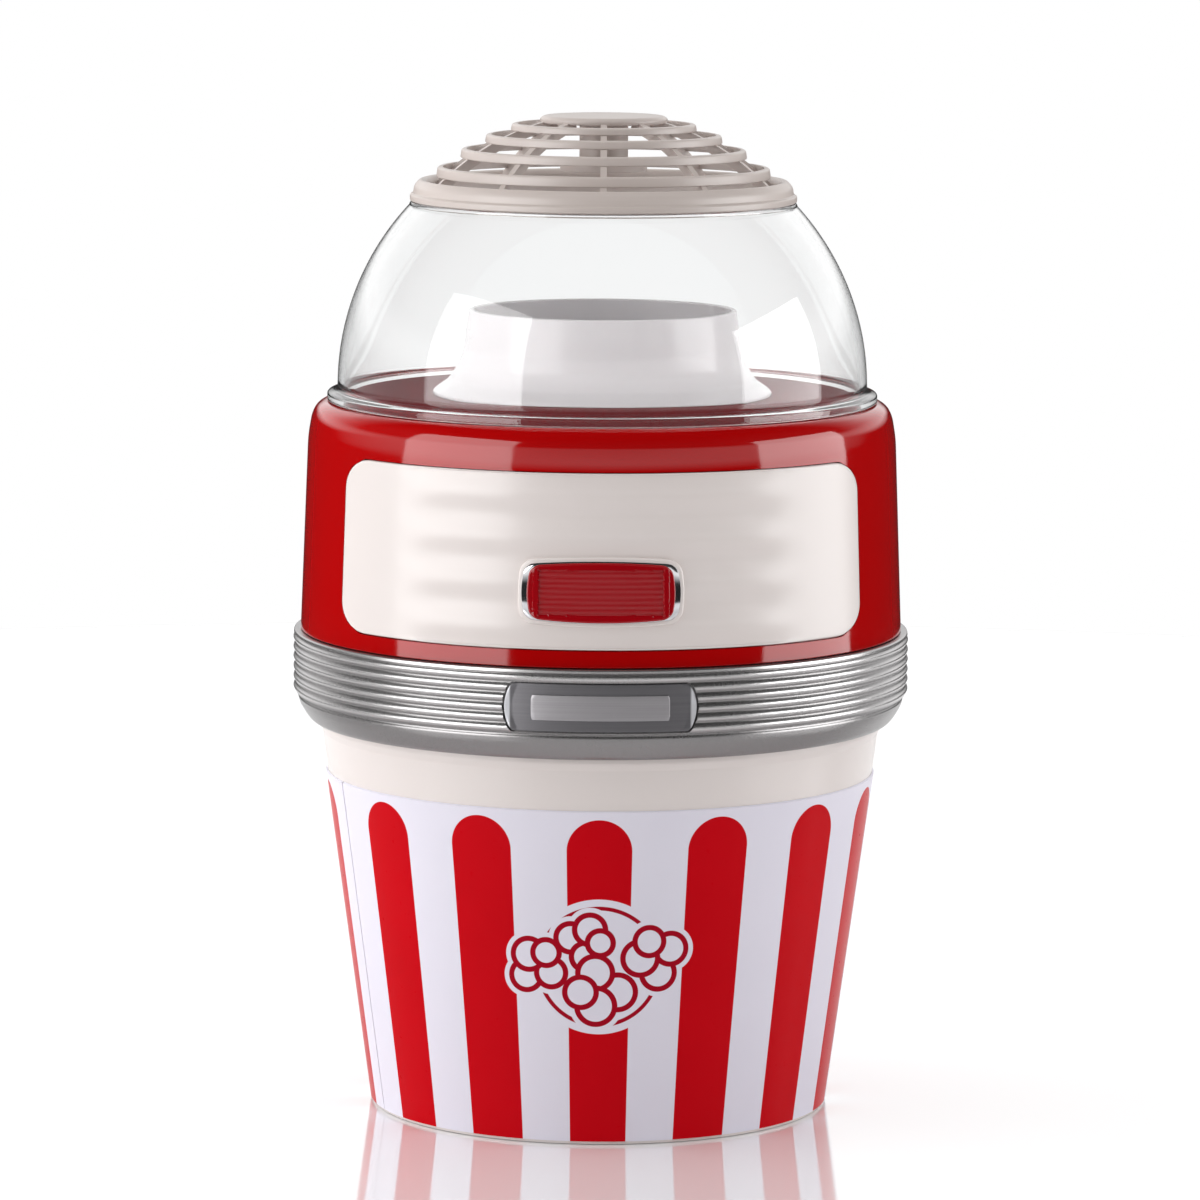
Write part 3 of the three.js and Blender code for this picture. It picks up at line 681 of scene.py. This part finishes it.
def nameplate_outline(grow=0.0):
    corner = 1.2 + grow
    return Outline(PLATE_WIDTH + 2 * grow, NAMEPLATE.height + 2 * grow, (corner, corner), bulge=PLATE_BULGE)


def nameplate_brackets(u, z):
    """A raised rim at each of the plate's curved ends."""
    v = (z - NAMEPLATE.middle) / (NAMEPLATE.height / 2)
    inset = PLATE_WIDTH / 2 - PLATE_BULGE * v * v - abs(u)
    return 0.8 * max(0.0, 1 - abs(inset - 0.8) / 0.9)


def make_band():
    crest = BAND.radius
    band = revolve("trim_band_ring", band_profile(), sides=288)
    pocket = patch("pocket", nameplate_outline(0.4), NAMEPLATE.middle, lambda z: crest, 3, -2.0, 0.3, 2)
    combine(band, [pocket], "DIFFERENCE")
    settle(band, "silver_trim", node="trim_band")
    plate = patch("nameplate_plate", nameplate_outline(), NAMEPLATE.middle, lambda z: crest,
                  -1.0, -1.7, 0.35, 1.0, nameplate_brackets)
    settle(plate, "nameplate_metal", node="nameplate")
    outline = Outline(47.6, STICKER.height, (0.8, 0.8))
    label = patch("nameplate_label", outline, STICKER.middle, lambda z: crest, -0.6, -0.95, 0.15, 1.5)
    settle(label, "label_metal", node="nameplate_sticker")


def panel_outline(grow=0.0):
    arc_length = 2 * math.radians(PANEL_ANGLE) * housing_radius(PANEL.middle)
    return Outline(arc_length + 2 * grow, PANEL.height + 2 * grow, (14 + grow, 10.5 + grow))


def badge_outline(width, height, bulge=1.4, crown=1.2, corner=3.4):
    return Outline(width, height, (corner, corner), bulge, crown)


def panel_waves(u, z):
    """Soft waves across the panel that fade out towards its ends."""
    depth, reach, fade = 1.25, 78, 26
    t = min(1.0, max(0.0, (reach - abs(u)) / fade))
    waves = 4 * (z - PANEL.low) / PANEL.height
    return -depth * (0.5 + 0.5 * math.cos(2 * math.pi * waves)) * t * t * (3 - 2 * t)


def make_housing():
    wall, top = 2.6, HOUSING.high
    deck_seat = DECK.low - 0.3
    seat_radius = DECK.radius + 0.3
    shell = revolve("housing_shell", [
        (103.4, HOUSING.low, 0.4),
        (103.4, SHOULDER, 0.2),
        (housing_radius(SHOULDER), SHOULDER, 0.3),
        (housing_radius(BEND), BEND, 3),
        (housing_radius(BEND) - 1.3, top - 4.8, 1.8),
        (housing_radius(BEND) - 3, top - 1.6, 1.6),
        (housing_radius(BEND) - 5.8, top, 1.2),
        (seat_radius, top, 0.4),
        (seat_radius, deck_seat, 0.3),
        (86.5, deck_seat, 0.3),
        (86.5, deck_seat - 2.1, 0.3),
        (housing_radius(top) - wall - 2, deck_seat - 2.1, 1.5),
        (housing_radius(SHOULDER) - wall, SHOULDER + 3, 0.5),
        (101, SHOULDER - 1, 0.5),
        (101, HOUSING.low, 0.4),
    ], sides=240, steps=10)
    pocket = patch("pocket", panel_outline(0.4), PANEL.middle, housing_radius, 4, -1.9, 0.3, 3)
    hole = block("hole", (13.8, 30, 20.3), (0, 100, ROCKER.middle), 0.6)
    combine(shell, [pocket, hole], "DIFFERENCE")
    settle(shell, "red_plastic", node="upper_housing")
    panel = patch("panel_face", panel_outline(), PANEL.middle, housing_radius,
                  0.25, -1.6, 0.7, 1.3, panel_waves)
    surround = patch("surround", badge_outline(56.6, 23.8, corner=4.2), BADGE.middle, housing_radius,
                     1.0, -1.0, 0.7, 1.2)
    combine(panel, [surround], "UNION")
    settle(panel, "cream_plastic", node="front_panel")


def make_badge():
    def barrel(_, z):
        return 0.9 * (1 - ((z - BADGE.middle) / (BADGE.height / 2)) ** 2)

    def grooves(u, z):
        width, height = 41.6, 15.4
        field = min(width / 2 - abs(u), height / 2 - abs(z - BADGE.middle))
        if field < 0:
            return 0.3 if -1.8 < width / 2 - abs(u) < 0 else 0.0
        return -0.3 - 0.16 * (0.5 + 0.5 * math.cos(2 * math.pi * (z - BADGE.middle) / 1.8))

    frame_piece = patch("badge_chrome_frame", badge_outline(54.2, 21.4), BADGE.middle, housing_radius,
                        1.1, 0.4, 0.5, 0.9, barrel)
    settle(frame_piece, "chrome_trim", node="badge_frame")
    outline = badge_outline(49.6, 20.4, corner=3.2)
    plate = patch("badge_red_plate", outline, BADGE.middle, housing_radius, 2.5, 1.6, 0.5, 0.3, grooves)
    settle(plate, "badge_red", node="badge_plate")


def make_deck():
    top, seat = DECK.high, DECK.low
    rim, hole, skirt = 89.8, 46.5, 88
    deck = revolve("deck_ring", [
        (DECK.radius, seat, 0.3),
        (DECK.radius, HOUSING.high, 0.4),
        (rim, HOUSING.high, 0.3),
        (rim, top, 1.2),
        (hole, top, 0.8),
        (hole, CHAMBER.high + 2.6, 0.3),
        (hole + 2.5, CHAMBER.high + 2.6, 0.3),
        (hole + 2.5, top - 2.4, 1),
        (skirt, top - 2.4, 1),
        (skirt, seat, 0.3),
    ])
    settle(deck, "deck_plastic", node="popcorn_deck")


# ---- Lid ----
DOME_CENTRE = 254.7
DOME_RADIUS = 93
GRILLE_CENTRE, GRILLE_SPHERE = 263.4, 87.2  # the rings stand on this sphere
LIPS = ((58.6, 3.4), (50.2, 3.0), (41.6, 2.7), (32.6, 2.3))  # radius and height of the rings


def make_dome():
    wall, foot, rim = 2.2, DOME.low, DOME.high - 1.2
    outside = arc(DOME_CENTRE, DOME_RADIUS, foot + 5, rim, 40)
    inside = arc(DOME_CENTRE, DOME_RADIUS - wall, foot + 5, rim - 0.6, 40)[::-1]
    dome = revolve("dome_clear_shell", [
        (DOME.radius, foot, 0.5),
        (DOME.radius, foot + 2.8, 0.8),
        (94, foot + 3.3, 0.8),
        *outside,
        (68, rim + 0.3, 0.4),
        (67.4, rim + 1.2, 0.4),
        (65.2, rim + 1.1, 0.4),
        *inside,
        (DOME_RADIUS - wall, foot, 0.5),
    ], sides=240, steps=5)
    settle(dome, "clear_plastic", "lid", node="dome_shell")


def grille_height(radius):
    return GRILLE_CENTRE + math.sqrt(GRILLE_SPHERE ** 2 - radius ** 2)


def grille_rib(azimuth):
    """A rib under the rings: thin, upright, and curved like the grille."""
    thickness, depth = 2.2, 3.4
    steps = 24
    angles = [math.radians(44 + 34 * i / steps) for i in range(steps + 1)]
    points = []
    for side in (-1, 1):
        for sphere in (GRILLE_SPHERE - 0.2, GRILLE_SPHERE - 0.2 - depth):
            for a in angles:
                r, z = sphere * math.cos(a), GRILLE_CENTRE + sphere * math.sin(a)
                points.append((side * thickness / 2, -r, z))
    n = steps + 1
    faces = []
    for i in range(steps):
        a, b = i, i + 1
        faces += [[a, b, n + b, n + a], [2 * n + a, 3 * n + a, 3 * n + b, 2 * n + b]]
        faces += [[a, 2 * n + a, 2 * n + b, b], [n + a, n + b, 3 * n + b, 3 * n + a]]
    for end in (0, steps):
        faces.append([end, n + end, 3 * n + end, 2 * n + end])
    return turned(mesh_object("rib", points, faces), azimuth)


def make_grille():
    top, ribs, seat = GRILLE.high, 10, DOME.high + 0.3
    base = revolve("vent_grille_moulding", [
        (63.2, seat, 0.2),
        (GRILLE.radius, seat, 0.5),
        (GRILLE.radius, seat + 2.2, 0.6),
        (66.7, seat + 2.6, 0.3),
        (66.3, 325, 1.2),
        (64.2, 327.2, 0.8),
        (62.2, 326.6, 0.6),
        (61.4, 325.2, 0.4),
        (61.4, GRILLE.low, 0.3),
        (63.2, GRILLE.low, 0.3),
    ])
    pieces = []
    for radius, height in LIPS:
        z = grille_height(radius)
        pieces.append(revolve("lip", [
            (radius, z, 0.5),
            (radius - 0.5, z + height, 0.7),
            (radius - 2.4, z + height + 0.3, 0.5),
            (radius - 2.2, z + 0.2, 0.4),
        ]))
    pieces.append(revolve("cap", [
        (0, top),
        (12, top - 0.1),
        (21, top - 0.5, 0.8),
        (22.4, top - 1.5, 0.6),
        (22.2, top - 3, 0.4),
        (8.5, top - 3.2, 0.8),
        (8.5, 334.4, 0.8),
        (15.2, 333.4, 0.6),
        (15.2, 330.2, 0.5),
        (0, 330.2),
    ]))
    pieces += [grille_rib(360 * i / ribs) for i in range(ribs)]
    combine(base, pieces, "UNION")
    settle(base, "grille_plastic", "lid", node="vent_grille")


def make_funnel():
    top, seat, low = FUNNEL.high, DECK.high + 0.3, FUNNEL.low
    mouth, skirt, spigot = 47, 59.5, 43
    funnel = revolve("funnel_moulding", [
        (mouth - 1.9, top, 0.7),
        (mouth, top, 0.7),
        (mouth + 0.9, 275),
        (mouth + 1.8, 268, 1),
        (mouth + 3.6, 262.4, 1.5),
        (mouth + 7, 257, 1.5),
        (skirt - 1.4, 254.2, 1),
        (skirt, seat + 1, 0.5),
        (skirt, seat, 0.3),
        (skirt - 2.4, seat, 0.3),
        (mouth + 4.8, 256.4, 1),
        (mouth + 1.2, 262, 1),
        (spigot, 258, 1.5),
        (spigot, low, 0.5),
        (spigot - 1.6, low, 0.5),
        (spigot - 1.6, 258.8, 2),
        (mouth - 1.2, 268, 2),
    ])
    settle(funnel, "white_plastic", "funnel", node="popcorn_funnel")


# ---- Inside, seen with the lid and the funnel off ----
def make_chamber():
    inner, wall, floor, top = 44, 0.9, CHAMBER.low + 5.4, CHAMBER.high
    cup = revolve("chamber_cup", [
        (0, floor + 3),
        (inner - 8, floor - 4.4, 4),
        (inner, floor, 2),
        (inner, top, 0.5),
        (CHAMBER.radius, top, 0.2),
        (CHAMBER.radius, top - 0.9, 0.2),
        (inner + wall, top - 0.9, 0.8),
        (inner + wall, floor - 0.4, 2),
        (inner - 7.7, floor - 5.3, 4),
        (0, floor + 2),
    ])
    slots = []
    for i in range(12):
        slot = block("slot", (13, 8, 2.4), (0, 0, 0), 0.8, Matrix.Rotation(math.radians(24), 4, "Y"))
        moved(slot, y=-inner, z=floor + 10)
        slots.append(turned(slot, 30 * i))
    combine(cup, slots, "DIFFERENCE")
    settle(cup, "aluminium_sheet", node="popping_chamber")


# ---- Back and base ----
def make_switch():
    z, face = SWITCH.middle, SWITCH.back
    bezel = block("switch_bezel", (16, 2.4, 22.5), (0, face - 1.2, z), 0.8)
    can = block("can", (13, 22, 19.5), (0, face - 12.4, z), 0.4)
    well = block("well", (10, 10, 16.5), (0, face - 2.2, z), 0.5)
    combine(bezel, [can], "UNION")
    combine(bezel, [well], "DIFFERENCE")
    settle(bezel, "black_plastic", node="switch_body")
    half, width, tilt = 7.15, 9, -8
    outline = rounded([(-half, -1.6, 0.4), (-3, -3.2, 0.8), (3, -3.2, 0.8), (half, -1.6, 0.4),
                       (half, 2, 0.7), (0, 0.8, 4), (-half, 2, 0.7)], 5)
    n = len(outline)
    points = [(side * width / 2, b, a) for side in (-1, 1) for a, b in outline]
    faces = [[i, (i + 1) % n, n + (i + 1) % n, n + i] for i in range(n)]
    faces += [list(range(n)), list(range(2 * n - 1, n - 1, -1))]
    rocker = turned(mesh_object("rocker_button", points, faces), tilt, "X")
    pivot = next(joint for joint in frame["joints"] if joint["name"] == "power_rocker")["pos_m"]
    rocker.data.transform(Matrix.Translation(pivot))
    settle(rocker, "switch_red", "rocker", node="switch_rocker")


def make_grommet():
    y, z = GROMMET.back, GROMMET.middle
    grommet = revolve("cord_bush", [
        (3.4, 0, 0.5),
        (7, 0, 0.9),
        (7, -2.4, 0.4),
        (4.2, -2.4, 0.4),
        (4.2, -8.2, 0.4),
        (6, -8.4, 0.5),
        (6, -11.2, 0.5),
        (3.4, -11.2, 0.4),
    ], sides=64)
    turned(grommet, -90, "X")
    moved(grommet, y=y, z=z)
    settle(grommet, "black_rubber", node="cord_grommet")


def make_feet():
    for place in ("rear_left", "front_left", "front_right", "rear_right"):
        node = f"rubber_foot_{place}"
        low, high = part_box(node)
        centre = (Vector(low) + Vector(high)) / 2 / MM
        foot = revolve(f"foot_{place}", [
            (0, 0.0), (4, 0.0), (5, 0.4, 0.3), (6.4, 0.4, 0.3), (7.2, 0.0, 0.2),
            (8.9, 0.0, 0.6), (8.6, 3.2, 0.5), (2.9, 3.2, 0.3), (2.9, 8.5, 0.6), (0, 8.5),
        ], sides=64)
        moved(foot, centre.x, centre.y)
        settle(foot, "black_rubber", node=node)


make_tub()
make_label()
make_band()
make_housing()
make_badge()
make_deck()
make_dome()
make_grille()
make_funnel()
make_chamber()
make_switch()
make_grommet()
make_feet()

slots = {part["node"]: part["material_slot"] for part in frame["record"]["subparts"]}
for name, node in frame["nodes"].items():
    node.data.materials.clear()
    node.data.materials.append(LOOKS[slots[name]].material)


# ---- Stage ----
TABLE = 1250  # radius of the white table top


def floor_look():
    look = Look("floor", ior=1.5, coat_weight=0.8, coat_roughness=0.06, emission_strength=0.08)
    look.shader.inputs["Emission Color"].default_value = (1, 1, 1, 1)
    look.colour(look.blend(look.noise(0.002, 2), (0.88, 0.88, 0.885, 1), (0.86, 0.86, 0.865, 1)))
    look.gloss(look.noise(0.02, 2) * 0.04 + 0.08)
    return look


floor = revolve("floor", [(0, -6), (TABLE, -6), (TABLE, 0), (0, 0)], sides=96)
floor.data.materials.append(floor_look().material)


def softbox(name, azimuth, distance, height, size, radiance):
    """An upright rectangular light that shiny surfaces mirror. Its power follows from radiance and area."""
    light = bpy.data.lights.new(name, "AREA")
    light.shape = "RECTANGLE"
    light.size, light.size_y = size[0] * MM, size[1] * MM
    light.energy = radiance * math.pi * light.size * light.size_y
    lamp = bpy.data.objects.new(name, light)
    lamp.location = Vector(spot(distance, math.radians(azimuth), height)) * MM
    aim = Vector((0, 0, min(height, 500))) * MM - lamp.location
    lamp.rotation_euler = aim.to_track_quat("-Z", "Y").to_euler()
    lamp.visible_diffuse = False
    bpy.context.scene.collection.objects.link(lamp)


softbox("left_softbox", -57.5, 1500, 480, (1300, 1600), 3.8)
softbox("right_softbox", 84.5, 1500, 380, (1240, 1100), 4.2)


def studio():
    """A white room where it is seen, one that is dark in front where it is mirrored, and side light."""
    world = bpy.data.worlds.new("studio")
    bpy.context.scene.world = world
    world.use_nodes = True
    nodes = Nodes(world.node_tree)
    nodes.space = "Generated"
    x, y, z = nodes.place()
    rays = nodes.add("ShaderNodeLightPath")
    seen = Value(nodes, rays.outputs["Is Camera Ray"]).most(Value(nodes, rays.outputs["Is Transmission Ray"]))
    mirrored = Value(nodes, rays.outputs["Is Glossy Ray"])
    level = (z - 0.09).inside(0.1) * (z * -1 + 0.6).inside(0.3)
    front = (y * -1 + 0.6).inside(0.4)
    dark = front * (z - 0.26).inside(0.1)
    room = level * (dark * -0.9 + front * -0.3 + 1.25) + 0.02
    left = (x * -1).most(0)
    right = x.most(0)
    top = z.most(0)
    light = left.math("POWER", 4) * 4.1 + right.math("POWER", 4) * 2.3 + top * top * 0.6 + 0.21
    strength = mirrored * (room - light) + light
    strength = (seen * -1 + 1) * strength + seen
    nodes.feed(world.node_tree.nodes["Background"].inputs["Strength"], strength)
    world.node_tree.nodes["Background"].inputs["Color"].default_value = (1, 1, 1, 1)


studio()

LENS, EYE, TARGET = 188.5, (0, -2200, 470), (-0.35, 0, 178.6)
LEAN = 0.35  # the machine leans a little to the right in the view, in degrees

camera_data = bpy.data.cameras.new("camera")
camera_data.sensor_width = 36
camera_data.lens = LENS
camera_data.clip_end = 50
camera = bpy.data.objects.new("camera", camera_data)
bpy.context.scene.collection.objects.link(camera)
camera.location = Vector(EYE) * MM
looking = (Vector(TARGET) * MM - camera.location).to_track_quat("-Z", "Y").to_matrix()
camera.rotation_euler = (looking @ Matrix.Rotation(math.radians(LEAN), 3, "Z")).to_euler()
bpy.context.scene.camera = camera

bpy.context.scene.view_settings.view_transform = "Standard"
